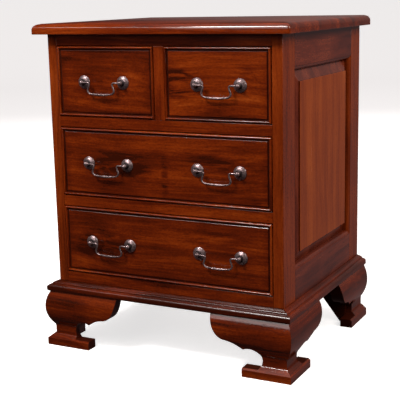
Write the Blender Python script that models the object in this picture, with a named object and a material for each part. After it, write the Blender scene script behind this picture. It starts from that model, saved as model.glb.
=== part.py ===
"""A small mahogany chest of drawers: two short and two long drawers in a panelled case, with a
moulded top, a plinth moulding, ogee bracket feet and swan-neck bail handles.

Units are metres and +Z is up. The drawers face -Y and +X is to the right of someone facing them.
The origin is on the floor, in the middle of the whole chest's bounding box.
"""

import math

import bmesh
import bpy
from mathutils import Vector

MM = 0.001

# Case
CASE_WIDTH = 364 * MM
CASE_DEPTH = 310 * MM
CASE_BOTTOM = 99.5 * MM
CASE_TOP = 465 * MM
SIDE_THICK = 15 * MM
RAIL_HIGH = 15.5 * MM
RAIL_DEEP = 22 * MM
MUNTIN_WIDE = 15.5 * MM
BOARD_THICK = 8 * MM
BACK_INSET = 2 * MM
JOINT_GAP = 0.2 * MM  # between pieces that are glued or rest on each other

# Top board
TOP_THICK = 15 * MM
TOP_OVERHANG = 16.9 * MM
TOP_CORNER_RADIUS = 3.5 * MM
TOP_SQUARE_EDGE = 6.4 * MM
TOP_ROUND_OUT = 9.0 * MM
TOP_ROUND_UP = 8.2 * MM
TOP_FILLET = 0.6 * MM

# Side panels: the opening is measured at the face of the frame
PANEL_STILE_FRONT = 41 * MM
PANEL_STILE_BACK = 40 * MM
PANEL_RAIL_TOP = 44.4 * MM
PANEL_RAIL_BOTTOM = 44 * MM
STICKING_QUIRK = 0.8 * MM
STICKING_RADIUS = 5.0 * MM
GROOVE_DEPTH = 5 * MM
GROOVE_FROM_FACE = 9.2 * MM
PANEL_BEVEL = 16 * MM
PANEL_BEVEL_TOP = 2.2 * MM
PANEL_FIELD_FROM_FACE = 0.8 * MM
PANEL_FIELD_STEP = 0.4 * MM

# Plinth moulding and feet: "out" is the distance outside the case's faces
FOOT_HEIGHT = 84 * MM
PLINTH_BACK_OUT = -25 * MM
PLINTH_OUT = 14.7 * MM
PLINTH_UNDER_RADIUS = 2.4 * MM
PLINTH_FACE_TOP = 6.2 * MM
PLINTH_STEP_OUT = 8.3 * MM
PLINTH_STEP_LOW = 10.6 * MM
PLINTH_STEP_HIGH = 11.7 * MM
FOOT_INNER_OUT = -2.5 * MM
FOOT_BULGE = 17.5 * MM
FOOT_BULGE_HEIGHT = 60 * MM
FOOT_BULGE_RADIUS = 47.5 * MM
FOOT_NECK_OUT = 7.0 * MM
FOOT_NECK_HEIGHT = 22 * MM
FOOT_PAD_OUT = 16.5 * MM
FOOT_PAD_HEIGHT = 10.6 * MM
FOOT_FILLET = (9.3 * MM, 16.6 * MM)
FOOT_WING = 105.5 * MM
BRACKET_THICK = 19 * MM
BRACKET_FROM_BACK = 31 * MM
BRACKET_TOP_WIDE = 78 * MM
BRACKET_BOTTOM_WIDE = 12 * MM

# Drawers
DRAWER_HIGH = 101 * MM
DRAWER_GAP = 0.7 * MM
FRONT_THICK = 18 * MM
DRAWER_SIDE_THICK = 8 * MM
DRAWER_BOX_LENGTH = 262 * MM
DRAWER_BACK_THICK = 8 * MM
DRAWER_SIDE_SHORTER = 9 * MM
DRAWER_BACK_SHORTER = 16 * MM
DRAWER_BOTTOM_THICK = 5 * MM
DRAWER_BOTTOM_UP = 7 * MM
RUNNING_GAP = 0.5 * MM
BEAD_WIDE = 3.6 * MM
BEAD_PROUD = 2.2 * MM
QUIRK_WIDE = 3.0 * MM
QUIRK_DEEP = 1.2 * MM

# Handles
POST_SPACING = 64 * MM
HANDLE_PLACES = {"top": (90 * MM, -0.6 * MM), "middle": (88 * MM, -0.7 * MM), "bottom": (88 * MM, -1.5 * MM)}
ROSE_RADIUS = 9.5 * MM
POST_STEM_RADIUS = 2.3 * MM
POST_BALL_RADIUS = 3.3 * MM
POST_BALL_OUT = 7.8 * MM
PIN_RADIUS = 1.25 * MM
PIN_HOLE_RADIUS = 1.5 * MM
PIN_LENGTH = 2.4 * MM
BAIL_END_RADIUS = 1.3 * MM
BAIL_GRIP_RADIUS = 1.8 * MM
BAIL_DROP = 16.9 * MM
GRIP_REACH = 13 * MM

# Places that follow from the sizes
SIDE_X = CASE_WIDTH / 2
INSIDE_X = SIDE_X - SIDE_THICK
FRONT_Y = FOOT_BULGE - (CASE_DEPTH + FOOT_BULGE) / 2
BACK_Y = FRONT_Y + CASE_DEPTH
RAIL_LEVELS = [CASE_BOTTOM + i * (RAIL_HIGH + DRAWER_HIGH) for i in range(4)]


def make_material(name, colour, roughness, metallic=0.0):
    material = bpy.data.materials.new(name)
    material.use_nodes = True
    shader = material.node_tree.nodes["Principled BSDF"]
    shader.inputs["Base Color"].default_value = (*colour, 1.0)
    shader.inputs["Roughness"].default_value = roughness
    shader.inputs["Metallic"].default_value = metallic
    return material


def add_object(name, bm, material, smooth_angle=None):
    """The bmesh as a named object, with its faces pointing out."""
    bmesh.ops.recalc_face_normals(bm, faces=bm.faces)
    mesh = bpy.data.meshes.new(name)
    bm.to_mesh(mesh)
    bm.free()
    mesh.materials.append(material)
    if smooth_angle:
        mesh.shade_smooth()
        mesh.set_sharp_from_angle(angle=math.radians(smooth_angle))
    piece = bpy.data.objects.new(name, mesh)
    bpy.context.scene.collection.objects.link(piece)
    return piece


def stack_rings(name, rings, material, loop=False, smooth_angle=None):
    """Joins rings of equally many points into one solid. The ends are capped, or joined when loop is set."""
    bm = bmesh.new()
    rows = [[bm.verts.new(point) for point in ring] for ring in rings]
    pairs = list(zip(rows, rows[1:]))
    if loop:
        pairs.append((rows[-1], rows[0]))
    else:
        bm.faces.new(rows[0])
        bm.faces.new(rows[-1])
    count = len(rows[0])
    for lower, upper in pairs:
        for i in range(count):
            j = (i + 1) % count
            bm.faces.new((lower[i], lower[j], upper[j], upper[i]))
    return add_object(name, bm, material, smooth_angle)


def box(name, x, y, z, material):
    """A plain board from (low, high) pairs."""
    rings = [[(x[0], y[0], h), (x[1], y[0], h), (x[1], y[1], h), (x[0], y[1], h)] for h in z]
    return stack_rings(name, rings, material)


def arc(centre, radius, start, end, steps):
    """Points along a circle between two angles in degrees, both ends included."""
    angles = [math.radians(start + (end - start) * i / steps) for i in range(steps + 1)]
    return [(centre[0] + radius * math.cos(a), centre[1] + radius * math.sin(a)) for a in angles]


def bezier(a, b, c, d, steps):
    """Points along a cubic curve, without its first one."""
    points = []
    for i in range(1, steps + 1):
        t = i / steps
        s = 1 - t
        weights = (s * s * s, 3 * s * s * t, 3 * s * t * t, t * t * t)
        points.append(tuple(sum(w * p[k] for w, p in zip(weights, (a, b, c, d))) for k in (0, 1)))
    return points


def hide_cutter(cutter):
    cutter.hide_render = True
    cutter.display_type = "WIRE"


def cut(piece, cutter, operation="DIFFERENCE"):
    modifier = piece.modifiers.new(cutter.name, "BOOLEAN")
    modifier.object = cutter
    modifier.operation = operation
    hide_cutter(cutter)


# ---- Case ----


def top_ring(out, height):
    """The top board's outline at one height, its two front corners rounded in plan."""
    right = SIDE_X + out
    front = FRONT_Y - out
    r = TOP_CORNER_RADIUS
    corner = arc((right - r, front + r), r, -90, 0, 4)
    ring = [(-x, y, height) for x, y in reversed(corner)] + [(x, y, height) for x, y in corner]
    return ring + [(right, BACK_Y, height), (-right, BACK_Y, height)]


def make_top(wood):
    """A board with a square lower edge, a rounded upper edge and a small fillet above it."""
    low = CASE_TOP + JOINT_GAP
    rings = [top_ring(TOP_OVERHANG, low), top_ring(TOP_OVERHANG, low + TOP_SQUARE_EDGE - JOINT_GAP)]
    base = CASE_TOP + TOP_SQUARE_EDGE
    for i in range(1, 6):
        a = math.radians(90 * i / 5)
        inward = TOP_ROUND_OUT * (1 - math.cos(a))
        rings.append(top_ring(TOP_OVERHANG - inward, base + TOP_ROUND_UP * math.sin(a)))
    rings.append(top_ring(TOP_OVERHANG - TOP_ROUND_OUT - TOP_FILLET, CASE_TOP + TOP_THICK))
    stack_rings("top_board", rings, wood, smooth_angle=30)


def panel_ring(x, inset):
    """A rectangle parallel to the side's opening, inset from it, at one distance x from the middle."""
    y0 = FRONT_Y + PANEL_STILE_FRONT + inset
    y1 = BACK_Y - PANEL_STILE_BACK - inset
    z0 = CASE_BOTTOM + PANEL_RAIL_BOTTOM + inset
    z1 = CASE_TOP - PANEL_RAIL_TOP - inset
    return [(x, y0, z0), (x, y1, z0), (x, y1, z1), (x, y0, z1)]


def make_side(side, sign, wood):
    """Stiles and rails round a fielded panel that sits in a rebate behind their moulded edges."""
    face = SIDE_X
    inner = INSIDE_X
    z0 = CASE_BOTTOM + JOINT_GAP
    z1 = CASE_TOP - JOINT_GAP
    outline = [(FRONT_Y, z0), (BACK_Y, z0), (BACK_Y, z1), (FRONT_Y, z1)]
    lip = STICKING_RADIUS
    rings = [[(face, y, z) for y, z in outline], panel_ring(face, 0)]
    for i in range(5):
        a = math.radians(90 * i / 4)
        depth = STICKING_QUIRK + lip * (1 - math.cos(a))
        rings.append(panel_ring(face - depth, lip * math.sin(a)))
    rings.append(panel_ring(face - GROOVE_FROM_FACE, lip))
    rings.append(panel_ring(face - GROOVE_FROM_FACE, -GROOVE_DEPTH))
    rings.append(panel_ring(inner, -GROOVE_DEPTH))
    rings.append([(inner, y, z) for y, z in outline])
    mirrored = [[(sign * x, y, z) for x, y, z in ring] for ring in rings]
    stack_rings("side_frame_" + side, mirrored, wood, loop=True)

    edge = -GROOVE_DEPTH + JOINT_GAP
    flange = face - GROOVE_FROM_FACE - JOINT_GAP
    bevel_start = lip + JOINT_GAP
    bevel_end = bevel_start + PANEL_BEVEL
    rings = [
        panel_ring(inner + JOINT_GAP, edge),
        panel_ring(flange, edge),
        panel_ring(flange, bevel_start),
        panel_ring(face - PANEL_BEVEL_TOP, bevel_end),
        panel_ring(face - PANEL_FIELD_FROM_FACE, bevel_end + PANEL_FIELD_STEP),
    ]
    mirrored = [[(sign * x, y, z) for x, y, z in ring] for ring in rings]
    stack_rings("side_panel_" + side, mirrored, wood)


def make_rails(wood):
    """Four front rails, with a muntin between the two short drawers."""
    across = (-INSIDE_X + JOINT_GAP, INSIDE_X - JOINT_GAP)
    deep = (FRONT_Y, FRONT_Y + RAIL_DEEP)
    for name, low in zip(("bottom", "lower", "upper", "top"), RAIL_LEVELS):
        high = low + RAIL_HIGH if name != "top" else CASE_TOP
        box("rail_" + name, across, deep, (low + JOINT_GAP, high - JOINT_GAP), wood)
    half = MUNTIN_WIDE / 2
    low = RAIL_LEVELS[2] + RAIL_HIGH
    box("muntin", (-half, half), deep, (low, low + DRAWER_HIGH), wood)


def make_boards(wood):
    """The dust boards that the drawers run on, the guide between the short drawers, and the back."""
    across = (-INSIDE_X + JOINT_GAP, INSIDE_X - JOINT_GAP)
    back_front = BACK_Y - BACK_INSET - BOARD_THICK
    deep = (FRONT_Y + RAIL_DEEP + JOINT_GAP, back_front - JOINT_GAP)
    for name, level in zip(("bottom_board", "dust_board_lower", "dust_board_upper"), RAIL_LEVELS):
        top = level + RAIL_HIGH
        box(name, across, deep, (top - BOARD_THICK, top), wood)
    half = MUNTIN_WIDE / 2
    low = RAIL_LEVELS[2] + RAIL_HIGH + JOINT_GAP
    box("centre_guide", (-half, half), deep, (low, low + MUNTIN_WIDE), wood)
    low = CASE_BOTTOM + JOINT_GAP
    box("back_panel", across, (back_front, BACK_Y - BACK_INSET), (low, CASE_TOP - JOINT_GAP), wood)


# ---- Base ----


def plinth_profile():
    """(out, height) round the moulding: an upright rounded face under a small step, with a flat back."""
    top = CASE_BOTTOM - JOINT_GAP
    low = FOOT_HEIGHT + JOINT_GAP
    r = PLINTH_UNDER_RADIUS
    under = arc((PLINTH_OUT - r, low + r), r, -80, 0, 4)
    across = PLINTH_OUT - PLINTH_STEP_OUT
    rise = PLINTH_STEP_LOW - PLINTH_FACE_TOP
    turns = [math.radians(15 * i) for i in range(7)]
    nose = [(PLINTH_STEP_OUT + across * math.cos(a), FOOT_HEIGHT + PLINTH_FACE_TOP + rise * math.sin(a))
            for a in turns]
    step = (PLINTH_STEP_OUT, FOOT_HEIGHT + PLINTH_STEP_HIGH)
    crown = bezier(step, (7.8 * MM, top - 2.1 * MM), (4.5 * MM, top - 1.1 * MM), (0, top), 5)
    return [(PLINTH_BACK_OUT, low)] + under + nose + [step] + crown + [(PLINTH_BACK_OUT, top)]


def make_plinth(wood):
    """The front length, mitred at both ends, and one length along each side."""
    profile = plinth_profile()
    rings = [[(s * (SIDE_X + q), FRONT_Y - q, z) for q, z in profile] for s in (-1, 1)]
    stack_rings("plinth_front", rings, wood, smooth_angle=35)
    for side, sign in (("left", -1), ("right", 1)):
        mitre = [(sign * (SIDE_X + q), FRONT_Y - q + 1.5 * JOINT_GAP, z) for q, z in profile]
        back = [(sign * (SIDE_X + q), BACK_Y, z) for q, z in profile]
        stack_rings("plinth_" + side, [mitre, back], wood, smooth_angle=35)


def foot_profile():
    """(out, height) round a bracket board: pad, hollow shoulder, fillet, neck, ogee face and a flat back."""
    bulge_centre = (FOOT_BULGE - FOOT_BULGE_RADIUS, FOOT_BULGE_HEIGHT)
    belly = arc(bulge_centre, FOOT_BULGE_RADIUS, -37, 30.3, 12)
    neck = bezier((FOOT_NECK_OUT, FOOT_NECK_HEIGHT), (FOOT_NECK_OUT, FOOT_NECK_HEIGHT + 4 * MM),
                  (belly[0][0] - 1.2 * MM, belly[0][1] - 1.8 * MM), belly[0], 3)
    pad = [(FOOT_PAD_OUT, 0), (FOOT_PAD_OUT, FOOT_PAD_HEIGHT)]
    shoulder = bezier(pad[-1], (14.0 * MM, 12.5 * MM), (9.9 * MM, 15.5 * MM), FOOT_FILLET, 4)
    fillet = [(FOOT_NECK_OUT, FOOT_FILLET[1] + 0.7 * MM), (FOOT_NECK_OUT, FOOT_NECK_HEIGHT)]
    top = [(belly[-1][0], FOOT_HEIGHT), (FOOT_INNER_OUT, FOOT_HEIGHT)]
    return pad + shoulder + fillet + neck + belly[1:] + top + [(FOOT_INNER_OUT, 0)]


def foot_waste():
    """(along, height) round the wood sawn away: lobed wing, cusp, scroll and the end of the pad.

    Along is the distance from the case's corner."""
    start = (FOOT_WING, FOOT_HEIGHT)
    lobe = (84 * MM, 49.3 * MM)
    cusp = (56 * MM, 37.8 * MM)
    scroll = (28.8 * MM, 25 * MM)
    pad_top = (33 * MM, 12.7 * MM)
    pad_end = 56.4 * MM
    beyond = FOOT_WING + 12 * MM
    points = [(FOOT_WING, FOOT_HEIGHT + 5 * MM), start]
    points += bezier(start, (104 * MM, 66 * MM), (96 * MM, 51 * MM), lobe, 7)
    points += bezier(lobe, (74 * MM, 48.2 * MM), (65 * MM, 45 * MM), cusp, 5)
    points += bezier(cusp, (47 * MM, 43.5 * MM), (31 * MM, 40 * MM), scroll, 7)
    points += bezier(scroll, (28.8 * MM, 19.5 * MM), (30.5 * MM, 15.5 * MM), pad_top, 5)
    points += [(pad_end, pad_top[1]), (pad_end, -5 * MM), (beyond, -5 * MM)]
    return points + [(beyond, FOOT_HEIGHT + 5 * MM)]


def make_front_foot(side, sign, wood):
    """Two ogee bracket boards mitred at the corner, each sawn to the same outline."""
    profile = foot_profile()
    length = FOOT_WING + 3 * MM
    rings = [
        [(sign * (SIDE_X - length), FRONT_Y - q, z) for q, z in profile],
        [(sign * (SIDE_X + q), FRONT_Y - q, z) for q, z in profile],
        [(sign * (SIDE_X + q), FRONT_Y + length, z) for q, z in profile],
    ]
    foot = stack_rings("foot_front_" + side, rings, wood, smooth_angle=30)
    waste = foot_waste()
    deep = (FOOT_INNER_OUT - 3 * MM, FOOT_BULGE + 3 * MM)
    front = [[(sign * (SIDE_X - s), FRONT_Y - q, z) for s, z in waste] for q in deep]
    flank = [[(sign * (SIDE_X + q), FRONT_Y + s, z) for s, z in waste] for q in deep]
    cut(foot, stack_rings("front_waste_" + side, front, wood))
    cut(foot, stack_rings("flank_waste_" + side, flank, wood))


def make_rear_foot(side, sign, wood):
    """One ogee bracket board that ends flush with the back, and a plain sloping bracket inside it."""
    profile = foot_profile()
    length = FOOT_WING + FOOT_BULGE + 3 * MM
    rings = [[(sign * (SIDE_X + q), y, z) for q, z in profile] for y in (BACK_Y - length, BACK_Y)]
    foot = stack_rings("foot_rear_" + side, rings, wood, smooth_angle=30)
    deep = (FOOT_INNER_OUT - 3 * MM, FOOT_BULGE + 3 * MM)
    flank = [[(sign * (SIDE_X + q), BACK_Y - FOOT_BULGE - s, z) for s, z in foot_waste()] for q in deep]
    cut(foot, stack_rings("rear_waste_" + side, flank, wood))
    joint = SIDE_X + FOOT_INNER_OUT + 1 * MM
    wedge = [(joint, 0), (SIDE_X - BRACKET_BOTTOM_WIDE, 0), (SIDE_X - BRACKET_TOP_WIDE, FOOT_HEIGHT),
             (joint, FOOT_HEIGHT)]
    near = BACK_Y - BRACKET_FROM_BACK - BRACKET_THICK
    bracket = [[(sign * x, y, z) for x, z in wedge] for y in (near, near + BRACKET_THICK)]
    cut(foot, stack_rings("inner_bracket_" + side, bracket, wood), "UNION")


# ---- Drawers ----


def front_ring(opening, inset, out):
    """A rectangle inside a drawer's opening, at a distance out from the face of the case."""
    x0, x1, z0, z1 = opening
    inset += DRAWER_GAP
    y = FRONT_Y - out
    return [(x0 + inset, y, z0 + inset), (x1 - inset, y, z0 + inset),
            (x1 - inset, y, z1 - inset), (x0 + inset, y, z1 - inset)]


def make_drawer(name, opening, wood, inner_wood):
    """A front with a cock bead round its edge, two sides, a back and a bottom."""
    rings = [front_ring(opening, 0, -FRONT_THICK), front_ring(opening, 0, 0)]
    for inset, out in arc((BEAD_WIDE / 2, 0), BEAD_WIDE / 2, 180, 0, 6)[1:]:
        rings.append(front_ring(opening, inset, out * BEAD_PROUD / (BEAD_WIDE / 2)))
    rings.append(front_ring(opening, BEAD_WIDE + QUIRK_WIDE / 3, -QUIRK_DEEP))
    rings.append(front_ring(opening, BEAD_WIDE + QUIRK_WIDE, 0))
    stack_rings(name + "_front", rings, wood, smooth_angle=40)

    x0, x1, z0, z1 = opening
    near = FRONT_Y + FRONT_THICK + JOINT_GAP
    far = near + DRAWER_BOX_LENGTH
    low = z0 + RUNNING_GAP
    left = x0 + DRAWER_GAP
    right = x1 - DRAWER_GAP
    side = DRAWER_SIDE_THICK
    inside = (left + side + JOINT_GAP, right - side - JOINT_GAP)
    side_high = (low, z1 - DRAWER_SIDE_SHORTER)
    box(name + "_side_left", (left, left + side), (near, far), side_high, inner_wood)
    box(name + "_side_right", (right - side, right), (near, far), side_high, inner_wood)
    base = low + DRAWER_BOTTOM_UP
    floor = (base, base + DRAWER_BOTTOM_THICK)
    box(name + "_bottom", inside, (near, far), floor, inner_wood)
    back = (far - DRAWER_BACK_THICK, far)
    box(name + "_back", inside, back, (floor[1] + JOINT_GAP, z1 - DRAWER_BACK_SHORTER), inner_wood)


# ---- Handles ----


def post_profile():
    """(radius, out) from the wood outwards: domed rose, short stem and a ball."""
    ball = arc((0, POST_BALL_OUT), POST_BALL_RADIUS, -46, 78, 7)
    rose = [(ROSE_RADIUS, 0), (ROSE_RADIUS, 1.0 * MM), (0.88 * ROSE_RADIUS, 2.0 * MM),
            (0.62 * ROSE_RADIUS, 3.2 * MM), (0.4 * ROSE_RADIUS, 3.9 * MM), (POST_STEM_RADIUS, 4.3 * MM)]
    return rose + ball


def make_post(name, x, z, inward, metal):
    """A turned post on its rose, with a blind hole in the side of the ball for the bail's pin."""
    sides = 16
    face = FRONT_Y - JOINT_GAP
    rings = []
    for radius, out in post_profile():
        turns = [2 * math.pi * i / sides for i in range(sides)]
        rings.append([(x + radius * math.cos(a), face - out, z + radius * math.sin(a)) for a in turns])
    post = stack_rings(name, rings, metal, smooth_angle=40)
    depth = PIN_LENGTH + 0.4 * MM
    start = x + inward * (POST_BALL_RADIUS - depth)
    end = x + inward * (POST_BALL_RADIUS + 2 * MM)
    hole = [[(h, face - POST_BALL_OUT + PIN_HOLE_RADIUS * math.cos(a), z + PIN_HOLE_RADIUS * math.sin(a))
             for a in (math.pi * i / 5 for i in range(10))] for h in (start, end)]
    cut(post, stack_rings(name + "_hole", hole, metal))


def bail_route():
    """(across, down) along the right half of a bail, from its middle to the pin in the post's ball."""
    ball_side = POST_SPACING / 2 - POST_BALL_RADIUS
    pin_end = ball_side + PIN_LENGTH
    middle = (0, -BAIL_DROP)
    grip_end = (15.5 * MM, 0.9 * MM - BAIL_DROP)
    waist = (21.6 * MM, -11 * MM)
    shoulder = (19.3 * MM, -2.6 * MM)
    route = [middle] + bezier(middle, (5 * MM, -BAIL_DROP), (11 * MM, 0.3 * MM - BAIL_DROP), grip_end, 4)
    route += bezier(grip_end, (19 * MM, 1.4 * MM - BAIL_DROP), (21.6 * MM, -14 * MM), waist, 4)
    route += bezier(waist, (21.6 * MM, -8 * MM), (19.5 * MM, -6 * MM), shoulder, 3)
    route += bezier(shoulder, (19.2 * MM, -1 * MM), (20.2 * MM, -0.1 * MM), (22.4 * MM, 0), 3)
    return route + [(ball_side - 1.2 * MM, 0), (ball_side - 0.9 * MM, 0), (pin_end, 0)]


def make_bail(name, x, z, metal):
    """A swan-neck bail, thickest in the middle of its grip, ending in two short pins."""
    half = bail_route()
    across = [(-u, v) for u, v in reversed(half[1:])] + half
    sides = 8
    rings = []
    for i, (u, v) in enumerate(across):
        before = Vector(across[max(i - 1, 0)])
        after = Vector(across[min(i + 1, len(across) - 1)])
        along = (after - before).normalized()
        outward = Vector((-along.y, along.x))
        grip = max(0.0, 1 - (abs(u) / GRIP_REACH) ** 2) if v < -BAIL_DROP / 2 else 0.0
        radius = BAIL_END_RADIUS + (BAIL_GRIP_RADIUS - BAIL_END_RADIUS) * grip
        if i < 2 or i > len(across) - 3:
            radius = PIN_RADIUS
        ring = []
        for k in range(sides):
            a = 2 * math.pi * k / sides
            ring.append((x + u + outward.x * radius * math.cos(a),
                         FRONT_Y - JOINT_GAP - POST_BALL_OUT + radius * math.sin(a),
                         z + v + outward.y * radius * math.cos(a)))
        rings.append(ring)
    stack_rings(name, rings, metal, smooth_angle=50)


def make_handle(name, x, z, metal):
    half = POST_SPACING / 2
    make_post("post_" + name + "_left", x - half, z, 1, metal)
    make_post("post_" + name + "_right", x + half, z, -1, metal)
    make_bail("bail_" + name, x, z, metal)


def make_drawers(wood, inner_wood, metal):
    levels = [level + RAIL_HIGH for level in RAIL_LEVELS]
    half = MUNTIN_WIDE / 2
    openings = {
        "drawer_top_left": (-INSIDE_X, -half, levels[2], levels[2] + DRAWER_HIGH),
        "drawer_top_right": (half, INSIDE_X, levels[2], levels[2] + DRAWER_HIGH),
        "drawer_middle": (-INSIDE_X, INSIDE_X, levels[1], levels[1] + DRAWER_HIGH),
        "drawer_bottom": (-INSIDE_X, INSIDE_X, levels[0], levels[0] + DRAWER_HIGH),
    }
    for name, opening in openings.items():
        make_drawer(name, opening, wood, inner_wood)
    for row, level in zip(("bottom", "middle", "top"), levels):
        across, lift = HANDLE_PLACES[row]
        for side, sign in (("left", -1), ("right", 1)):
            make_handle(row + "_" + side, sign * across, level + DRAWER_HIGH / 2 + lift, metal)


def main():
    for old in list(bpy.data.objects):
        bpy.data.objects.remove(old)
    mahogany = make_material("mahogany", (0.20, 0.035, 0.008), 0.25)
    drawer_lining = make_material("drawer_lining", (0.42, 0.24, 0.12), 0.6)
    pewter = make_material("old_pewter", (0.42, 0.36, 0.36), 0.35, 1.0)
    make_top(mahogany)
    make_rails(mahogany)
    make_boards(drawer_lining)
    make_plinth(mahogany)
    for side, sign in (("left", -1), ("right", 1)):
        make_side(side, sign, mahogany)
        make_front_foot(side, sign, mahogany)
        make_rear_foot(side, sign, mahogany)
    make_drawers(mahogany, drawer_lining, pewter)


main()
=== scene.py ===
"""The looks of a small mahogany chest of drawers with swan-neck bail handles, on ogee bracket feet.

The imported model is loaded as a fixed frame, and each section below finishes or rebuilds one group of
its pieces in place. Units are metres, +Z is up and the drawers open towards -Y.
"""

import math

import bmesh
import bpy
from mathutils import Matrix, Vector


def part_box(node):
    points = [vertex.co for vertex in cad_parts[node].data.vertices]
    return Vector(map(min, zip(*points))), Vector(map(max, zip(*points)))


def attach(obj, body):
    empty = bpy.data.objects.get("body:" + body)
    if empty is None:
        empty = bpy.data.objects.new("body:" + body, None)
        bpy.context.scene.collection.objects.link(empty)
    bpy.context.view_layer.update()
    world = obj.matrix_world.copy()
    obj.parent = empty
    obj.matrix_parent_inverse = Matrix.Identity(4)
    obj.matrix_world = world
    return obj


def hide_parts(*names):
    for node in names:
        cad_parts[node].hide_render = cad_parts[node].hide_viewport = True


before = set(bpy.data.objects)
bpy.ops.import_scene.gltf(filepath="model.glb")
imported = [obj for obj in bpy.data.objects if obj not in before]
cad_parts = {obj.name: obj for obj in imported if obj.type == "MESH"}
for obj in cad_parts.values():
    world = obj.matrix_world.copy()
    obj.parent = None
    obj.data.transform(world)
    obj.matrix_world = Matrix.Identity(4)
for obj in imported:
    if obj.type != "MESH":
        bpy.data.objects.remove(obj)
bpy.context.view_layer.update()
MM = 0.001


# ---- Camera, floor and lights ----
# The camera stands at the chest's right front, a little above its top, with a slight roll. The floor is a
# wide pale sheet that curves up into a round wall. A large soft box stands at the left front with a small
# strong one and a narrow strip beside it, and others stand at the right, behind and overhead.

CAMERA_PLACE = Vector((0.6654, -1.3130, 0.5137))
CAMERA_TURN = math.radians(27.47)
CAMERA_DIP = math.radians(11.75)
CAMERA_ROLL = math.radians(-1.30)
CAMERA_LENS = 88.19

camera = bpy.data.objects.new("camera", bpy.data.cameras.new("camera"))
bpy.context.scene.collection.objects.link(camera)
camera.data.lens = CAMERA_LENS
camera.data.sensor_width = 36
ahead = Vector((-math.sin(CAMERA_TURN) * math.cos(CAMERA_DIP), math.cos(CAMERA_TURN) * math.cos(CAMERA_DIP),
                -math.sin(CAMERA_DIP)))
level_right = Vector((math.cos(CAMERA_TURN), math.sin(CAMERA_TURN), 0))
level_up = level_right.cross(ahead)
right = math.cos(CAMERA_ROLL) * level_right + math.sin(CAMERA_ROLL) * level_up
up = right.cross(ahead)
camera.matrix_world = Matrix.Translation(CAMERA_PLACE) @ Matrix((right, up, -ahead)).transposed().to_4x4()
bpy.context.scene.camera = camera
bpy.context.scene.view_settings.view_transform = "Standard"


def soft_box(name, place, target, size, power, colour=(1, 1, 1)):
    """A rectangular light at a place, facing a target. Returns it."""
    light = bpy.data.objects.new(name, bpy.data.lights.new(name, "AREA"))
    light.data.shape = "RECTANGLE"
    light.data.size, light.data.size_y = size
    light.data.energy = power
    light.data.color = colour
    light.location = place
    light.rotation_euler = (Vector(target) - Vector(place)).to_track_quat("-Z", "Y").to_euler()
    bpy.context.scene.collection.objects.link(light)
    return light


DRAWERS_MIDDLE = (0, -0.15, 0.36)
soft_box("key_light", (-0.22, -1.37, 1.20), DRAWERS_MIDDLE, (0.93, 1.2), 10.5, (1, 0.96, 0.94))
soft_box("hot_light", (-0.35, -0.97, 1.34), DRAWERS_MIDDLE, (0.34, 0.2), 13, (1, 0.96, 0.94))
soft_box("strip_light", (-0.72, -1.00, 1.36), (-0.1, -0.15, 0.45), (0.95, 0.1), 3.2, (1, 0.97, 0.96))
soft_box("right_light", (1.65, -0.35, 1.43), (0.1, 0, 0.28), (1.2, 1.2), 34, (1, 0.94, 0.86))
rear_light = soft_box("rear_light", (-0.9, 1.9, 1.5), (0, 0, 0.25), (2.2, 2.2), 16, (1, 0.96, 0.93))
rear_light.visible_glossy = False
soft_box("overhead_light", (0.1, -0.2, 2.6), (0, 0, 0), (2.4, 2.4), 15)


class Wire:
    """An output of a shader node. Arithmetic on it adds Math or Vector Math nodes."""

    def __init__(self, tree, socket=None):
        self.tree = tree
        self.socket = socket

    def make(self, kind, settings=None, values=None, output=0):
        """Adds a node, sets it up, fills its sockets with values or wires, and returns one output."""
        node = self.tree.nodes.new("ShaderNode" + kind)
        for key, value in (settings or {}).items():
            if key != "stops":
                setattr(node, key, value)
                continue
            stops = node.color_ramp.elements
            stops[0].position, stops[0].color = value[0]
            stops[1].position, stops[1].color = value[-1]
            for place, colour in value[1:-1]:
                stops.new(place).color = colour
        for key, value in (values or {}).items():
            if isinstance(value, Wire):
                self.tree.links.new(value.socket, node.inputs[key])
            else:
                node.inputs[key].default_value = value
        return Wire(self.tree, node.outputs[output])

    def apply(self, operation, first, second):
        wires = [w for w in (first, second) if isinstance(w, Wire)]
        if any(w.socket.type == "VECTOR" for w in wires):
            pair = [(x, x, x) if isinstance(x, (int, float)) else x for x in (first, second)]
            return self.make("VectorMath", {"operation": operation}, {0: pair[0], 1: pair[1]})
        return self.make("Math", {"operation": operation}, {0: first, 1: second})

    def __add__(self, other):
        return self.apply("ADD", self, other)

    def __radd__(self, other):
        return self.apply("ADD", other, self)

    def __sub__(self, other):
        return self.apply("SUBTRACT", self, other)

    def __rsub__(self, other):
        return self.apply("SUBTRACT", other, self)

    def __mul__(self, other):
        return self.apply("MULTIPLY", self, other)

    def __rmul__(self, other):
        return self.apply("MULTIPLY", other, self)

    def __truediv__(self, other):
        return self.apply("DIVIDE", self, other)

    def __rtruediv__(self, other):
        return self.apply("DIVIDE", other, self)

    def __pow__(self, other):
        return self.apply("POWER", self, other)

    def __rpow__(self, other):
        return self.apply("POWER", other, self)

    def __neg__(self):
        return self.apply("MULTIPLY", self, -1.0)

    def rise(self, low, high):
        """0 below low, 1 above high, and smooth between."""
        return self.make("MapRange", {"interpolation_type": "SMOOTHSTEP"},
                         {"Value": self, "From Min": low, "From Max": high})

    def noise(self, scale, detail=2.0, roughness=0.5, distortion=0.0):
        """Noise at this place, about 0 to 1 round 0.5."""
        return self.make("TexNoise", {"normalize": True}, {
            "Vector": self, "Scale": scale, "Detail": detail, "Roughness": roughness,
            "Distortion": distortion})

    def blend(self, one, other):
        """A colour between two, by this factor."""
        return self.make("Mix", {"data_type": "RGBA"}, {0: self, 6: one, 7: other}, output=2)


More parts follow.
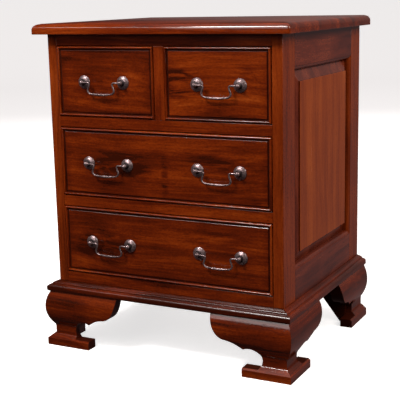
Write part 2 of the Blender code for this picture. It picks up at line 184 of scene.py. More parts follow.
# The surround: dim in front, lighter behind and to the upper right, and dark below the floor's edge
world = bpy.data.worlds.new("surround")
bpy.context.scene.world = world
world.use_nodes = True
way = Wire(world.node_tree).make("TexCoord", output="Generated")
height = way.make("SeparateXYZ", values={0: way}, output="Z").rise(-0.02, 0.12)
behind = way.make("SeparateXYZ", values={0: way}, output="Y").rise(-0.3, 0.5)
below = behind.blend((0.030, 0.021, 0.021, 1), (0.16, 0.11, 0.11, 1))
rightwards = way.make("SeparateXYZ", values={0: way}, output="X").rise(-0.60, -0.25)
far_above = rightwards.blend((0.05, 0.033, 0.034, 1), (0.24, 0.175, 0.165, 1))
above = behind.blend((0.080, 0.056, 0.052, 1), far_above)
surround = world.node_tree.nodes["Background"]
world.node_tree.links.new(height.blend(below, above).socket, surround.inputs["Color"])

FLOOR_REACH = 4.5
FLOOR_CURVE = 1.5
WALL_HIGH = 5.0
paper = bpy.data.materials.new("pale_paper")
paper.use_nodes = True
sheet_shader = paper.node_tree.nodes["Principled BSDF"]
sheet_shader.inputs["Base Color"].default_value = (0.86, 0.86, 0.86, 1)
sheet_shader.inputs["Roughness"].default_value = 0.9
sheet_shader.inputs["Specular IOR Level"].default_value = 0.1
sheet_shader.inputs["Emission Color"].default_value = (1, 1, 1, 1)
sheet_shader.inputs["Emission Strength"].default_value = 0.70
sweep = bmesh.new()
profile = [(0.0, 0.0), (FLOOR_REACH, 0.0)]
for i in range(1, 13):
    a = math.radians(90 * i / 12)
    profile.append((FLOOR_REACH + FLOOR_CURVE * math.sin(a), FLOOR_CURVE * (1 - math.cos(a))))
profile.append((profile[-1][0], WALL_HIGH))
outline = [sweep.verts.new((r, 0, z)) for r, z in profile]
edges = [sweep.edges.new(pair) for pair in zip(outline, outline[1:])]
bmesh.ops.spin(sweep, geom=edges, cent=(0, 0, 0), axis=(0, 0, 1), angle=2 * math.pi, steps=96)
bmesh.ops.remove_doubles(sweep, verts=sweep.verts, dist=1e-5)
bmesh.ops.recalc_face_normals(sweep, faces=sweep.faces)
floor = bpy.data.objects.new("floor", bpy.data.meshes.new("floor"))
sweep.to_mesh(floor.data)
sweep.free()
floor.data.shade_smooth()
floor.data.materials.append(paper)
bpy.context.scene.collection.objects.link(floor)
floor.visible_glossy = False
floor.visible_shadow = False
floor.visible_diffuse = False


# ---- Top board ----
# One solid mahogany board, grain from left to right. Its front and side edges are run with a square lower
# edge, a quarter round and a small fillet, and it is screwed to the case from inside.


def along_grain(axis, share):
    """A scale that stretches a pattern along one axis."""
    scale = [1.0, 1.0, 1.0]
    scale["XYZ".index(axis)] = share
    return tuple(scale)


# French-polished mahogany, from the dark lines to the light ribbons of the figure
MAHOGANY = [
    (0.18, (0.034, 0.0040, 0.0005, 1)),
    (0.40, (0.105, 0.0110, 0.0010, 1)),
    (0.58, (0.190, 0.0240, 0.0016, 1)),
    (0.80, (0.320, 0.0590, 0.0065, 1)),
]


def mahogany(name, axis, shift=(0, 0, 0), lighter=0.0, ribbon=0.22, stops=MAHOGANY, gloss=0.16, shine=0.5,
             streaks=(), rim=None):
    """Polished mahogany with its grain along one axis. shift moves the figure, so that no two boards match.

    lighter moves the tone along the stops, and ribbon is the strength of the cross figure. gloss is the mean
    roughness and shine the strength of the reflection. streaks lists dark figured patches as (centre, half
    sizes, strength). rim is the box of a board whose colour darkens towards its edges, as painted shade.
    """
    finish = bpy.data.materials.new(name)
    finish.use_nodes = True
    shader = finish.node_tree.nodes["Principled BSDF"]
    start = Wire(finish.node_tree).make("TexCoord", output="Object")
    place = start + shift
    wander = (place * along_grain(axis, 0.35)).noise(7, 2) - 0.5
    place = place + wander * 0.05
    bands = (place * along_grain(axis, 0.05)).noise(46, 5, 0.62, 0.4)
    lines = (place * along_grain(axis, 0.022)).noise(330, 3, 0.6)
    pores = (place * along_grain(axis, 0.08)).noise(1300, 1).rise(0.60, 0.72)
    specks = (place * along_grain(axis, 0.4)).noise(700, 2, 0.7)
    sheen = (place * along_grain(axis, 0.28)).noise(85, 3, 0.6, 0.6)
    cloud = place.noise(9, 2)
    tone = bands * 0.95 + (lines - 0.5) * 0.42 + (sheen - 0.5) * ribbon + (cloud - 0.5) * 0.45 + lighter
    tone = tone + (specks - 0.5) * 0.34
    dashes = (place * along_grain(axis, 0.18)).noise(105, 3, 0.5, 0.9).rise(0.36, 0.66)
    for centre, reach, strength in streaks:
        away = (start - centre) / reach
        away = away.make("VectorMath", {"operation": "LENGTH"}, {0: away}, output="Value")
        tone = tone - (1 - away.rise(0.2, 1.0)) * dashes * strength
    # Painted shade: the colour darkens within 2 to 20 mm of the box's side, top and bottom edges.
    if rim:
        inwards = start.make("VectorMath", {"operation": "MINIMUM"}, {0: start - rim[0], 1: rim[1] - start})
        across = inwards.make("SeparateXYZ", values={0: inwards}, output="X")
        upwards = inwards.make("SeparateXYZ", values={0: inwards}, output="Z")
        tone = tone - (1 - across.apply("MINIMUM", across, upwards).rise(0.002, 0.020)) * bands * 0.20
    colour = tone.make("ValToRGB", {"stops": stops}, {0: tone})
    colour = (pores * 0.55).blend(colour, stops[0][1])
    shader.inputs["IOR"].default_value = 1.5
    shader.inputs["Specular IOR Level"].default_value = shine
    tree = finish.node_tree
    tree.links.new(colour.socket, shader.inputs["Base Color"])
    tree.links.new((lines * 0.10 + cloud * 0.08 + (gloss - 0.09)).socket, shader.inputs["Roughness"])
    relief = (pores * -0.6) + (lines * 0.5) + (sheen * 0.3)
    bump = relief.make("Bump", values={"Strength": 0.16, "Distance": 0.0002, "Height": relief}, output="Normal")
    tree.links.new(bump.socket, shader.inputs["Normal"])
    return finish


def turn_out(name, rings, finishes, ease=0.0, smooth=35, bands=None):
    """One closed piece from rings of equally many points. bands gives the finish's number for each band.

    ease is the width of the eased arrises, and smooth the angle in degrees above which an edge stays sharp.
    """
    work = bmesh.new()
    rows = [[work.verts.new(point) for point in ring] for ring in rings]
    work.faces.new(rows[0])
    work.faces.new(rows[-1])
    for number, (lower, upper) in enumerate(zip(rows, rows[1:])):
        for i in range(len(lower)):
            j = (i + 1) % len(lower)
            face = work.faces.new((lower[i], lower[j], upper[j], upper[i]))
            face.material_index = bands[number] if bands else 0
    bmesh.ops.recalc_face_normals(work, faces=work.faces)
    piece = bpy.data.objects.new(name, bpy.data.meshes.new(name))
    work.to_mesh(piece.data)
    work.free()
    for finish in finishes:
        piece.data.materials.append(finish)
    piece.data.shade_smooth()
    piece.data.set_sharp_from_angle(angle=math.radians(smooth))
    bpy.context.scene.collection.objects.link(piece)
    if ease:
        ease_edges(piece, ease)
    return piece


def ease_edges(piece, width):
    """Takes the sharp arrises off, as sandpaper does."""
    easing = piece.modifiers.new("eased_edges", "BEVEL")
    easing.width = width
    easing.segments = 2
    easing.limit_method = "ANGLE"
    easing.angle_limit = math.radians(32)
    easing.harden_normals = False


def arc(centre, radius, start, end, steps):
    """Points along a circle between two angles in degrees, both ends included."""
    angles = [math.radians(start + (end - start) * i / steps) for i in range(steps + 1)]
    return [(centre[0] + radius * math.cos(a), centre[1] + radius * math.sin(a)) for a in angles]


low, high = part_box("top_board")
TOP_CORNER_RADIUS = 3.5 * MM
TOP_SQUARE_EDGE = 6.4 * MM
TOP_ROUND_OUT = 9.0 * MM
TOP_FILLET = 0.6 * MM
TOP_LOWER_EASE = 0.5 * MM
TOP_FILLET_HIGH = 0.4 * MM


def top_outline(inset, height):
    """The board's outline at one height, with its front corners rounded in plan."""
    x = high.x - inset
    front = low.y + inset
    r = TOP_CORNER_RADIUS
    corner = arc((x - r, front + r), r, -90, 0, 8)
    ring = [(-px, py, height) for px, py in reversed(corner)] + [(px, py, height) for px, py in corner]
    return ring + [(x, high.y, height), (-x, high.y, height)]


rounded_from = low.z + TOP_SQUARE_EDGE
round_up = high.z - TOP_FILLET_HIGH - rounded_from
rings = [top_outline(TOP_LOWER_EASE, low.z), top_outline(0, low.z + TOP_LOWER_EASE),
         top_outline(0, rounded_from)]
for i in range(1, 11):
    a = math.radians(9 * i)
    rings.append(top_outline(TOP_ROUND_OUT * (1 - math.cos(a)), rounded_from + round_up * math.sin(a)))
rings.append(top_outline(TOP_ROUND_OUT + TOP_FILLET, high.z))
top = turn_out("polished_top", rings, [mahogany("top_mahogany", "X", (0.3, 0.1, 0.2), -0.10, gloss=0.11)])
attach(top, "case")
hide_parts("top_board")


# ---- Side frames ----
# Each side is a frame of two upright stiles with two rails tenoned between them. Their inner edges are
# moulded with a small quarter round that is mitred at the corners, and a fielded panel sits behind it.

STICKING_QUIRK = 0.8 * MM
STICKING_RADIUS = 5.0 * MM
LIP_DEPTH = 9.0 * MM
RAIL_EASE = 0.25 * MM
panel_low, panel_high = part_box("side_panel_right")
frame_low, frame_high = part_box("side_frame_right")
GROOVE = 4.8 * MM                       # how far the panel reaches behind the opening's edge
open_y = (panel_low.y + GROOVE, panel_high.y - GROOVE)
open_z = (panel_low.z + GROOVE, panel_high.z - GROOVE)

# Darker stain than the panels, with a plum tone
FRAME_STAIN = [
    (0.20, (0.024, 0.0028, 0.0018, 1)),
    (0.42, (0.075, 0.0110, 0.0045, 1)),
    (0.60, (0.135, 0.0210, 0.0080, 1)),
    (0.82, (0.220, 0.0420, 0.0150, 1)),
]

STILE_STAIN = [
    (0.18, (0.070, 0.0080, 0.0008, 1)),
    (0.42, (0.160, 0.0210, 0.0022, 1)),
    (0.60, (0.235, 0.0370, 0.0040, 1)),
    (0.82, (0.320, 0.0620, 0.0080, 1)),
]


def board(name, x, y, z, finish, ease=0.4 * MM):
    """A straight board from (low, high) pairs, its arrises eased."""
    rings = [[(x[0], y[0], h), (x[1], y[0], h), (x[1], y[1], h), (x[0], y[1], h)] for h in z]
    return turn_out(name, rings, [finish], ease=ease)


def sticking_profile():
    """(towards the opening, depth) of the moulded inner edge, from the frame's face to its groove."""
    curve = [(0, 0), (0.2 * MM, STICKING_QUIRK)]
    for i in range(1, 9):
        a = math.radians(90 * i / 8)
        curve.append((STICKING_RADIUS * math.sin(a), STICKING_QUIRK + STICKING_RADIUS * (1 - math.cos(a))))
    return curve + [(STICKING_RADIUS, LIP_DEPTH), (0, LIP_DEPTH)]


profile = sticking_profile()
corners = [(open_y[0], open_z[0], 1, 1), (open_y[1], open_z[0], -1, 1),
           (open_y[1], open_z[1], -1, -1), (open_y[0], open_z[1], 1, -1)]
for side, sign in (("left", -1), ("right", 1)):
    x_faces = (frame_low.x, frame_high.x) if sign > 0 else (-frame_high.x, -frame_low.x)
    upright = mahogany(side + "_stile_mahogany", "Z", (0.7 * sign, 0.4, 0.3), 0.03 * sign - 0.03, ribbon=0.1,
                       stops=STILE_STAIN, shine=0.35)
    crossing = mahogany(side + "_rail_mahogany", "Y", (0.2, 0.9 * sign, 0.5), lighter=0.02, stops=FRAME_STAIN)
    full_z = (frame_low.z, frame_high.z)
    boards = [
        board("side_stile_front_" + side, x_faces, (frame_low.y, open_y[0]), full_z, upright),
        board("side_stile_back_" + side, x_faces, (open_y[1], frame_high.y), full_z, upright),
        board("side_rail_top_" + side, x_faces, open_y, (open_z[1], frame_high.z), crossing, RAIL_EASE),
        board("side_rail_bottom_" + side, x_faces, open_y, (frame_low.z, open_z[0]), crossing, RAIL_EASE),
    ]
    face = sign * frame_high.x
    for i, part in enumerate(("bottom", "back", "top", "front")):
        ends = corners[i], corners[(i + 1) % 4]
        rings = [[(face - sign * d, y + sy * q, z + sz * q) for q, d in profile] for y, z, sy, sz in ends]
        finish = crossing if part in ("bottom", "top") else upright
        boards.append(turn_out("side_moulding_" + part + "_" + side, rings, [finish], smooth=40))
    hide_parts("side_frame_" + side)
    for piece in boards:
        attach(piece, "case")


# ---- Side panels ----
# A raised and fielded panel, one wide board with upright grain, lighter than its frame. It is loose in the
# frame's rebate, so that it can shrink and swell. Its bevels are darker than the field.

PANEL_STAIN = [
    (0.18, (0.150, 0.0210, 0.0014, 1)),
    (0.42, (0.235, 0.0380, 0.0028, 1)),
    (0.60, (0.300, 0.0550, 0.0050, 1)),
    (0.82, (0.380, 0.0850, 0.0095, 1)),
]
PANEL_BEVEL = 16 * MM
PANEL_EDGE_DEPTH = 8.6 * MM
bevel_from = GROOVE + STICKING_RADIUS + 0.2 * MM
field_from = bevel_from + PANEL_BEVEL
# (depth behind the field, distance from the panel's edge) from the front's edge to the field
PANEL_STEPS = [
    (PANEL_EDGE_DEPTH, 0),
    (PANEL_EDGE_DEPTH, bevel_from),
    (2.6 * MM, field_from - 1.2 * MM),
    (2.2 * MM, field_from - 0.2 * MM),
    (0.3 * MM, field_from),
    (0, field_from + 0.5 * MM),
]


def upright_rectangle(x, inset, low, high):
    """A rectangle facing the side, inset from a box's edges."""
    return [(x, low.y + inset, low.z + inset), (x, high.y - inset, low.z + inset),
            (x, high.y - inset, high.z - inset), (x, low.y + inset, high.z - inset)]


for side, sign in (("left", -1), ("right", 1)):
    low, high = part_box("side_panel_" + side)
    back, front = (low.x, high.x) if sign > 0 else (high.x, low.x)
    rings = [upright_rectangle(front - sign * depth, inset, low, high)
             for depth, inset in [(abs(front - back), 0)] + PANEL_STEPS]
    shift = (0.5 * sign, 0.8, 0.1)
    finishes = [mahogany(side + "_panel_mahogany", "Z", shift, ribbon=0.08, stops=PANEL_STAIN, gloss=0.24,
                         shine=0.32),
                mahogany(side + "_bevel_mahogany", "Z", shift, lighter=0.08, ribbon=0.08, stops=FRAME_STAIN)]
    panel = turn_out("side_fielded_panel_" + side, rings, finishes, bands=[1, 1, 1, 1, 1, 0], smooth=20)
    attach(panel, "case")
    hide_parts("side_panel_" + side)


# ---- Front rails and muntin ----
# The rails between the drawers run from side to side, with a short upright between the two small drawers.


FRONT_EASE = 0.3 * MM
# The lower rails are toned darker: painted shade, for the weaker light low on the front.
RAIL_PAINTED_SHADE = (("top", 0.0), ("upper", 0.0), ("lower", -0.03), ("bottom", -0.08))


def finish_node(name, finish, ease):
    """Gives a CAD piece its real finish and eases its arrises."""
    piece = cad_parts[name]
    for place in piece.material_slots:
        place.material = finish
    joined = piece.modifiers.new("one_skin", "WELD")
    joined.merge_threshold = 1e-5
    ease_edges(piece, ease)


for number, (name, lighter) in enumerate(RAIL_PAINTED_SHADE):
    finish = mahogany("rail_" + name + "_mahogany", "X", (0.31 * number, 0.2, 0.17 * number), lighter)
    finish_node("rail_" + name, finish, FRONT_EASE)
finish_node("muntin", mahogany("muntin_mahogany", "Z", (0.4, 0.6, 0.2)), FRONT_EASE)


# ---- Plinth moulding ----
# Three lengths under the case, mitred at the front corners: an upright rounded face that overhangs the
# feet, and a small step above it.

PLINTH_OUT = 14.7 * MM
PLINTH_UNDER_RADIUS = 2.4 * MM
PLINTH_FACE_TOP = 6.2 * MM
PLINTH_STEP_OUT = 8.3 * MM
PLINTH_STEP_LOW = 10.6 * MM
PLINTH_STEP_HIGH = 11.7 * MM
plinth_low, plinth_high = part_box("plinth_front")
side_x = frame_high.x
front_y = frame_low.y
back_y = frame_high.y
PLINTH_BACK_OUT = -25 * MM
PLINTH_MITRE_GAP = 0.15 * MM


def bezier(a, b, c, d, steps):
    """Points along a cubic curve, without its first one."""
    points = []
    for i in range(1, steps + 1):
        t = i / steps
        weights = ((1 - t) ** 3, 3 * t * (1 - t) ** 2, 3 * t * t * (1 - t), t**3)
        points.append(tuple(sum(w * p[k] for w, p in zip(weights, (a, b, c, d))) for k in (0, 1)))
    return points


def plinth_profile():
    """(out, height) round the moulding."""
    base, crown = plinth_low.z, plinth_high.z
    r = PLINTH_UNDER_RADIUS
    under = arc((PLINTH_OUT - r, base + r), r, -80, 0, 8)
    across, rise = PLINTH_OUT - PLINTH_STEP_OUT, PLINTH_STEP_LOW - PLINTH_FACE_TOP
    turns = [math.radians(7.5 * i) for i in range(13)]
    nose = [(PLINTH_STEP_OUT + across * math.cos(a), base + PLINTH_FACE_TOP + rise * math.sin(a))
            for a in turns]
    step = (PLINTH_STEP_OUT, base + PLINTH_STEP_HIGH)
    cap = bezier(step, (7.8 * MM, crown - 2.1 * MM), (4.5 * MM, crown - 1.1 * MM), (0, crown), 8)
    return [(PLINTH_BACK_OUT, base)] + under + nose + [step] + cap + [(PLINTH_BACK_OUT, crown)]


profile = plinth_profile()
rings = [[(s * (side_x + q), front_y - q, z) for q, z in profile] for s in (-1, 1)]
# The front length is toned well down: painted shade, for the weaker light low on the front.
front_finish = mahogany("plinth_mahogany_x", "X", (0.9, 0, 0.6), -0.31, gloss=0.18)
lengths = {"plinth_front": turn_out("plinth_moulding_front", rings, [front_finish])}
flank_finish = mahogany("plinth_mahogany_y", "Y", (0.1, 0.5, 0.3), -0.10)
for side, sign in (("left", -1), ("right", 1)):
    rings = [[(sign * (side_x + q), front_y - q + PLINTH_MITRE_GAP, z) for q, z in profile],
             [(sign * (side_x + q), back_y, z) for q, z in profile]]
    lengths["plinth_" + side] = turn_out("plinth_moulding_" + side, rings, [flank_finish])
for node, piece in lengths.items():
    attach(piece, "case")
    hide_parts(node)


# ---- Bracket feet ----
# Each front foot is two boards planed to an ogee face, mitred at the corner and sawn to a lobed wing, a
# cusp, a scroll and a pad. Each rear foot is one such board and a plain sloping bracket inside it.

FOOT_INNER_OUT = -2.5 * MM
FOOT_BULGE = 17.5 * MM
FOOT_BULGE_HEIGHT = 60 * MM
FOOT_BULGE_RADIUS = 47.5 * MM
FOOT_NECK_OUT = 7.0 * MM
FOOT_NECK_HEIGHT = 22 * MM
FOOT_PAD_OUT = 16.5 * MM
FOOT_PAD_HEIGHT = 10.6 * MM
FOOT_FILLET = (9.3 * MM, 16.6 * MM)
FOOT_WING = 105.5 * MM
FOOT_MITRE_GAP = 0.04 * MM
BRACKET_THICK = 19 * MM
BRACKET_FROM_BACK = 31 * MM
BRACKET_TOP_WIDE = 78 * MM
BRACKET_BOTTOM_WIDE = 12 * MM
foot_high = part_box("foot_front_right")[1].z


def foot_profile():
    """(out, height) round a bracket board: pad, hollow shoulder, fillet, neck, belly and a flat back."""
    belly = arc((FOOT_BULGE - FOOT_BULGE_RADIUS, FOOT_BULGE_HEIGHT), FOOT_BULGE_RADIUS, -37, 30.3, 30)
    neck = bezier((FOOT_NECK_OUT, FOOT_NECK_HEIGHT), (FOOT_NECK_OUT, FOOT_NECK_HEIGHT + 4 * MM),
                  (belly[0][0] - 1.2 * MM, belly[0][1] - 1.8 * MM), belly[0], 8)
    pad = [(FOOT_PAD_OUT, 0), (FOOT_PAD_OUT, FOOT_PAD_HEIGHT),
           (FOOT_PAD_OUT - 0.4 * MM, FOOT_PAD_HEIGHT + 0.3 * MM)]
    shoulder = bezier(pad[-1], (14.0 * MM, 12.5 * MM), (10.2 * MM, 15.8 * MM), FOOT_FILLET, 8)
    fillet = [(FOOT_FILLET[0] - 0.2 * MM, FOOT_FILLET[1] + 0.35 * MM),
              (FOOT_NECK_OUT, FOOT_FILLET[1] + 0.7 * MM), (FOOT_NECK_OUT, FOOT_NECK_HEIGHT)]
    crown = [(belly[-1][0], foot_high), (FOOT_INNER_OUT, foot_high)]
    return pad + shoulder + fillet + neck + belly[1:] + crown + [(FOOT_INNER_OUT, 0)]


def foot_waste():
    """(along, height) round the wood sawn away, along being the distance from the case's corner."""
    start = (FOOT_WING, foot_high)
    lobe = (84 * MM, 49.3 * MM)
    cusp = (56 * MM, 37.8 * MM)
    scroll = (28.8 * MM, 25 * MM)
    pad_top = (33 * MM, 12.7 * MM)
    pad_end = 56.4 * MM
    beyond = FOOT_WING + 12 * MM
    points = [(FOOT_WING, foot_high + 5 * MM), start]
    points += bezier(start, (104 * MM, 66 * MM), (96 * MM, 51 * MM), lobe, 16)
    points += bezier(lobe, (74 * MM, 48.2 * MM), (65 * MM, 45 * MM), cusp, 10)
    points += bezier(cusp, (47 * MM, 43.5 * MM), (31 * MM, 40 * MM), scroll, 14)
    points += bezier(scroll, (28.8 * MM, 19.5 * MM), (30.5 * MM, 15.5 * MM), pad_top, 8)
    return points + [(pad_end, pad_top[1]), (pad_end, -5 * MM), (beyond, -5 * MM),
                     (beyond, foot_high + 5 * MM)]


def saw(piece, waste):
    """Cuts the waste off a piece for good."""
    sawing = piece.modifiers.new("sawn", "BOOLEAN")
    sawing.object = waste
    with bpy.context.temp_override(object=piece, active_object=piece):
        bpy.ops.object.modifier_apply(modifier=sawing.name)
    bpy.data.objects.remove(waste)
    piece.data.shade_smooth()
    piece.data.set_sharp_from_angle(angle=math.radians(30))


# Near-black finish for the feet's sawn faces, and painted shade in the quirks beside the cock beads and on the
# inner brackets under the case
STAIN_AND_SHADE = [
    (0.20, (0.016, 0.0016, 0.0003, 1)),
    (0.50, (0.038, 0.0042, 0.0005, 1)),
    (0.80, (0.075, 0.0100, 0.0010, 1)),
]
FOOT_FIGURE = {
    "left": {"lighter": -0.07},
    "right": {"streaks": [((0, -0.19, up * MM), (1, 1, 0.005), 0.26) for up in (45, 71)]},
}
sawn = mahogany("sawn_mahogany", "X", (0.2, 0.5, 0.1), stops=STAIN_AND_SHADE, gloss=0.5, shine=0.1)
profile = foot_profile()
waste_outline = foot_waste()
through = (FOOT_INNER_OUT - 3 * MM, FOOT_BULGE + 3 * MM)
reach = FOOT_WING + 3 * MM
for side, sign in (("left", -1), ("right", 1)):
    front_finish = mahogany("foot_" + side + "_mahogany_x", "X", (0.15 * sign, 0.3, 0.45), ribbon=0.1,
                            gloss=0.12, shine=0.65, **FOOT_FIGURE[side])
    flank_finish = mahogany("foot_" + side + "_mahogany_y", "Y", (0.35, 0.6 * sign, 0.2), -0.16)
    rings = [[(sign * (side_x - reach), front_y - q, z) for q, z in profile],
             [(sign * (side_x + q - FOOT_MITRE_GAP), front_y - q, z) for q, z in profile]]
    face_board = turn_out("foot_bracket_front_" + side, rings, [front_finish, sawn])
    saw(face_board, turn_out("waste", [[(sign * (side_x - s), front_y - q, z) for s, z in waste_outline]
                                       for q in through], [], bands=[1]))
    rings = [[(sign * (side_x + q), front_y - q + FOOT_MITRE_GAP, z) for q, z in profile],
             [(sign * (side_x + q), front_y + reach, z) for q, z in profile]]
    flank_board = turn_out("foot_bracket_flank_" + side, rings, [flank_finish, sawn])
    saw(flank_board, turn_out("waste", [[(sign * (side_x + q), front_y + s, z) for s, z in waste_outline]
                                        for q in through], [], bands=[1]))
    rings = [[(sign * (side_x + q), y, z) for q, z in profile] for y in (back_y - FOOT_BULGE - reach, back_y)]
    rear_board = turn_out("foot_bracket_rear_" + side, rings, [flank_finish, sawn])
    saw(rear_board, turn_out("waste", [[(sign * (side_x + q), back_y - FOOT_BULGE - s, z)
                                        for s, z in waste_outline] for q in through], [], bands=[1]))
    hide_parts("foot_front_" + side)
    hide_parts("foot_rear_" + side)
    inner_x = side_x + FOOT_INNER_OUT
    slope = [(inner_x, 0), (side_x - BRACKET_BOTTOM_WIDE, 0), (side_x - BRACKET_TOP_WIDE, foot_high),
             (inner_x, foot_high)]
    near = back_y - BRACKET_FROM_BACK - BRACKET_THICK
    rings = [[(sign * x, y, z) for x, z in slope] for y in (near, near + BRACKET_THICK)]
    # The inner bracket gets the near-black finish as painted shade under the case.
    bracket = turn_out("foot_inner_bracket_" + side, rings, [sawn], ease=0.5 * MM)
    for piece in (face_board, flank_board, rear_board, bracket):
        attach(piece, "case")


# ---- Drawer fronts and cock beads ----
# Each front is one mahogany board with lengthwise grain, rebated round its edge. Four strips of cock bead
# are glued into the rebate, mitred at the corners, and stand a little proud.

BEAD_WIDE = 3.6 * MM
BEAD_PROUD = 2.2 * MM
BEAD_DEEP = 6 * MM
BEAD_CLEAR = 0.35 * MM                  # the dark line between the bead and the case
BEAD_SEAT_GAP = 0.08 * MM
QUIRK_WIDE = 3.0 * MM
QUIRK_DEEP = 1.2 * MM
# Each front's own figure, with its dark patches
FIGURES = {
    "drawer_top_left": {"shift": (0.10, 0.0, 0.33), "lighter": -0.10, "streaks": [
        ((-0.158, -0.16, 0.434), (0.040, 1, 0.012), 0.20), ((-0.085, -0.16, 0.345), (0.05, 1, 0.012), 0.14)]},
    "drawer_top_right": {"shift": (0.62, 0.0, 0.71), "lighter": 0.09, "streaks": [
        ((0.028, -0.16, 0.400), (0.034, 1, 0.034), 0.60), ((0.140, -0.16, 0.416), (0.045, 1, 0.016), 0.24),
        ((0.120, -0.16, 0.350), (0.05, 1, 0.014), 0.14)]},
    "drawer_middle": {"shift": (0.35, 0.0, 0.05), "lighter": 0.03, "streaks": [
        ((-0.075, -0.16, 0.280), (0.085, 1, 0.030), 0.50), ((0.004, -0.16, 0.268), (0.008, 1, 0.040), 0.34),
        ((0.080, -0.16, 0.292), (0.060, 1, 0.018), 0.34), ((0.140, -0.16, 0.236), (0.060, 1, 0.018), 0.18)]},
    "drawer_bottom": {"shift": (0.81, 0.0, 0.52), "lighter": -0.04, "streaks": [
        ((-0.105, -0.16, 0.162), (0.070, 1, 0.030), 0.36), ((0.085, -0.16, 0.186), (0.080, 1, 0.018), 0.20),
        ((0.040, -0.16, 0.110), (0.110, 1, 0.016), 0.16)]},
}
drawers = list(FIGURES)


def rectangle(inset, y, low, high):
    """A rectangle facing the front, inset from a box's sides."""
    return [(low.x + inset, y, low.z + inset), (high.x - inset, y, low.z + inset),
            (high.x - inset, y, high.z - inset), (low.x + inset, y, high.z - inset)]


for drawer in drawers:
    low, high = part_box(drawer + "_front")
    look = FIGURES[drawer]
    # The front's box, for painted shade that darkens its colour towards its edges.
    rim = tuple(low), tuple(high)
    field_finish = mahogany(drawer + "_mahogany", "X", **look, rim=rim)
    # The quirk between bead and field gets the near-black finish: painted shade beside the bead.
    quirk_shade_finish = mahogany(drawer + "_waxed_quirk", "X", look["shift"], stops=STAIN_AND_SHADE, gloss=0.5, shine=0.12)
    seat = BEAD_WIDE + BEAD_SEAT_GAP
    shelf = front_y + BEAD_DEEP + 0.1 * MM
    rings = [
        rectangle(0, high.y, low, high),
        rectangle(0, shelf, low, high),
        rectangle(seat, shelf, low, high),
        rectangle(seat, front_y + QUIRK_DEEP, low, high),
        rectangle(seat + QUIRK_WIDE * 0.45, front_y + QUIRK_DEEP, low, high),
        rectangle(seat + QUIRK_WIDE * 0.9, front_y + 0.22 * MM, low, high),
        rectangle(seat + QUIRK_WIDE, front_y, low, high),
    ]
    panel = turn_out(drawer + "_front_board", rings, [field_finish, quirk_shade_finish], smooth=25,
                     bands=[0, 0, 0, 1, 1, 0])
    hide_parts(drawer + "_front")
    pieces = [panel]
    half = (BEAD_WIDE - BEAD_CLEAR) / 2
    nose = [(u + BEAD_CLEAR + half, v * BEAD_PROUD / half) for u, v in arc((0, 0), half, 180, 0, 10)]
    section = [(BEAD_CLEAR, -BEAD_DEEP)] + nose + [(BEAD_WIDE, -BEAD_DEEP)]
    corners = [(low.x, low.z, 1, 1), (high.x, low.z, -1, 1),
               (high.x, high.z, -1, -1), (low.x, high.z, 1, -1)]
    for i, part in enumerate(("bottom", "right", "top", "left")):
        axis = "X" if part in ("bottom", "top") else "Z"
        finish = mahogany(drawer + "_bead_" + part + "_mahogany", axis, look["shift"], gloss=0.14)
        ends = corners[i], corners[(i + 1) % 4]
        rings = [[(x + sx * q, front_y - out, z + sz * q) for q, out in section] for x, z, sx, sz in ends]
        pieces.append(turn_out(drawer + "_cock_bead_" + part, rings, [finish], smooth=50))
    for piece in pieces:
        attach(piece, drawer)


# ---- Drawer boxes ----
# Sides, back and bottom are thin plain boards, sanded and left unpolished.

LINING = [
    (0.20, (0.230, 0.110, 0.050, 1)),
    (0.50, (0.420, 0.240, 0.120, 1)),
    (0.80, (0.560, 0.370, 0.210, 1)),
]


def plain_wood(name, axis, shift=(0, 0, 0)):
    """Pale unpolished wood with its grain along one axis."""
    return mahogany(name, axis, shift, ribbon=0.05, stops=LINING, gloss=0.6)


BOX_EASE = 0.5 * MM
along_y = plain_wood("lining_wood_y", "Y", (0.4, 0.1, 0.9))
along_x = plain_wood("lining_wood_x", "X", (0.1, 0.7, 0.3))
for drawer in drawers:
    for part, finish in (("side_left", along_y), ("side_right", along_y),
                         ("back", along_x), ("bottom", along_x)):
        finish_node(drawer + "_" + part, finish, BOX_EASE)


# ---- Boards inside the case ----
# Dust boards, bottom board, drawer guide and back panel, all of the same plain wood.

INSIDE_EASE = 0.4 * MM
for name in ("dust_board_upper", "dust_board_lower", "bottom_board"):
    finish_node(name, along_x, INSIDE_EASE)
finish_node("centre_guide", along_y, INSIDE_EASE)
finish_node("back_panel", plain_wood("back_wood", "Z", (0.2, 0.3, 0.6)), INSIDE_EASE)


# ---- Pins in the back ----
# Round-headed steel pins round the edge of the back panel, gone dull.

# (radius, out) of a pin's head in millimetres
PIN_HEAD = [(2.3, -0.3), (2.3, 0.25), (1.9, 0.7), (1.2, 1.0), (0.4, 1.15)]
PIN_FROM_EDGE = 7 * MM
back_low, back_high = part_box("back_panel")
steel = bpy.data.materials.new("dull_steel")
steel.use_nodes = True
steel_shader = steel.node_tree.nodes["Principled BSDF"]
steel_shader.inputs["Metallic"].default_value = 1.0
steel_shader.inputs["Roughness"].default_value = 0.5
rust = Wire(steel.node_tree).make("TexCoord", output="Object").noise(300, 3).rise(0.40, 0.65)
steel.node_tree.links.new(rust.blend((0.30, 0.28, 0.26, 1), (0.16, 0.10, 0.07, 1)).socket,
                          steel_shader.inputs["Base Color"])
columns = [back_low.x + PIN_FROM_EDGE, back_low.x / 3, back_high.x / 3, back_high.x - PIN_FROM_EDGE]
level_step = (back_high.z - back_low.z - 2 * PIN_FROM_EDGE) / 4
levels = [back_low.z + PIN_FROM_EDGE + level_step * i for i in range(5)]
places = [(x, z) for x in columns for z in levels
          if x in (columns[0], columns[-1]) or z in (levels[0], levels[-1])]
for number, (x, z) in enumerate(places):
    turns = [2 * math.pi * i / 16 for i in range(16)]
    rings = [[(x + r * MM * math.cos(a), back_high.y + out * MM, z + r * MM * math.sin(a)) for a in turns]
             for r, out in PIN_HEAD]
    pin = turn_out("back_pin_" + str(number + 1), rings, [steel], smooth=50)
    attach(pin, "case")
